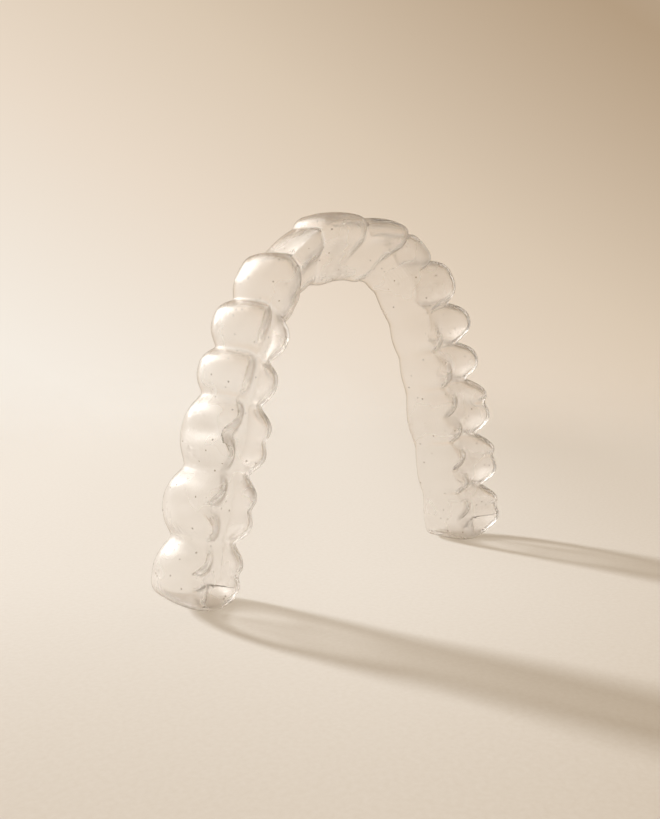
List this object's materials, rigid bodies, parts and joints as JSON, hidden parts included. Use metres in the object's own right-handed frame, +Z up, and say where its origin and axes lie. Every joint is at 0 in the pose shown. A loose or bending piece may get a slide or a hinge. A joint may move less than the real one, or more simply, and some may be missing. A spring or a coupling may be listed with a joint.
{
  "type": "clear dental aligner",
  "caption": "Clear removable dental tray: one thin thermoformed sheet that fits over a full arch of teeth, open towards the gums.",
  "frame": {"origin": "centre of the bounding box in X and Y, at the flats under the two distal ends", "axes": "+Z up, towards the front teeth at the top of the arch; +X across the arch; -Y is the biting side and +Y the open gum side"},
  "size_m": [0.0714, 0.0096, 0.0563],
  "materials": {
    "clear_plastic": "clear and glossy"
  },
  "bodies": {
    "root": {"aligner_shell": "clear_plastic"}
  },
  "joints": []
}
